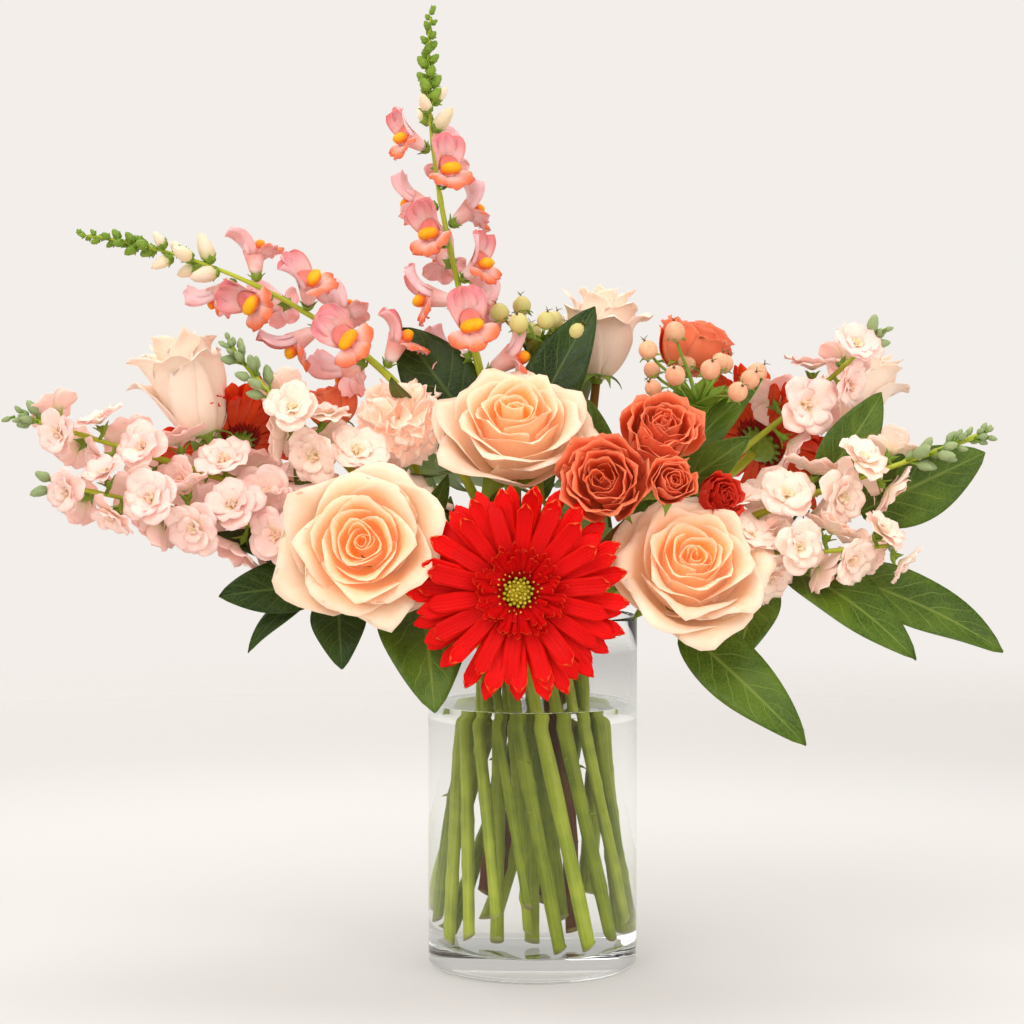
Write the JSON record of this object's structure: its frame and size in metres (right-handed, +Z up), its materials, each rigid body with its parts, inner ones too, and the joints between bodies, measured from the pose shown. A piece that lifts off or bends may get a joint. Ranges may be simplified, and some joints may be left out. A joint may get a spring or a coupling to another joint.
{
  "type": "flower arrangement in a glass vase",
  "caption": "Mixed bouquet of gerberas, roses, stocks, snapdragons and berries in a clear glass cylinder vase with water.",
  "frame": {"origin": "centre of the vase's flat underside, on the table", "axes": "+Z up along the vase's axis, -Y towards the side from which the bouquet is seen, +X to that viewer's right"},
  "size_m": [0.5297, 0.2237, 0.5144],
  "materials": {
    "glass": "clear, smooth, polished",
    "water": "clear, still",
    "stem": "fresh green, satin, a few brown woody ones",
    "leaf": "waxy green upper side, paler veined underside",
    "gerbera": "velvety scarlet rays round a yellow-green disc",
    "rose": "soft apricot, paler on the outer petals",
    "pale_rose": "soft cream pink",
    "spray_rose": "soft coral orange",
    "carnation": "matt pale peach, frilled",
    "stock": "soft blush and cream",
    "snapdragon": "soft coral pink with orange throats",
    "berry": "smooth peach berries"
  },
  "bodies": {
    "root": {"vase": "glass", "gerbera_front_stem": "stem", "gerbera_left_stem": "stem", "gerbera_right_stem": "stem", "rose_left_stem": "stem", "rose_middle_stem": "stem", "rose_right_stem": "stem", "rose_upper_stem": "stem", "rose_back_left_stem": "stem", "rose_back_right_stem": "stem", "spray_right_stem": "stem", "spray_left_stem": "stem", "carnation_stem": "stem", "stock_left_top_stem": "stem", "stock_left_long_stem": "stem", "stock_left_low_stem": "stem", "stock_right_long_stem": "stem", "stock_right_low_stem": "stem", "stock_right_top_stem": "stem", "snapdragon_middle_stem": "stem", "snapdragon_left_stem": "stem", "hypericum_middle_stem": "stem", "hypericum_right_stem": "stem", "greens_right_stem": "stem", "greens_left_stem": "stem", "greens_back_stem": "stem", "water": "water", "leaves_right": "leaf", "leaves_rose_right": "leaf", "leaves_left": "leaf", "leaves_rose_left": "leaf", "leaves_top": "leaf", "leaves_hypericum": "leaf", "leaves_back": "leaf", "gerbera_front_bloom": "gerbera", "gerbera_left_bloom": "gerbera", "gerbera_right_bloom": "gerbera", "rose_left_bloom": "rose", "rose_middle_bloom": "rose", "rose_right_bloom": "rose", "rose_upper_bloom": "pale_rose", "rose_back_left_bloom": "pale_rose", "rose_back_right_bloom": "pale_rose", "spray_left_bloom": "spray_rose", "carnation_bloom": "carnation", "spray_rose_low": "spray_rose", "spray_rose_high": "spray_rose", "spray_rose_bud": "spray_rose", "spray_rose_dark": "spray_rose", "spray_rose_back": "spray_rose", "stock_left_top_flowers": "stock", "stock_left_long_flowers": "stock", "stock_left_low_flowers": "stock", "stock_right_long_flowers": "stock", "stock_right_low_flowers": "stock", "stock_right_top_flowers": "stock", "snapdragon_middle_flowers": "snapdragon", "snapdragon_left_flowers": "snapdragon", "hypericum_middle_berries": "berry", "hypericum_right_berries": "berry"}
  },
  "joints": []
}
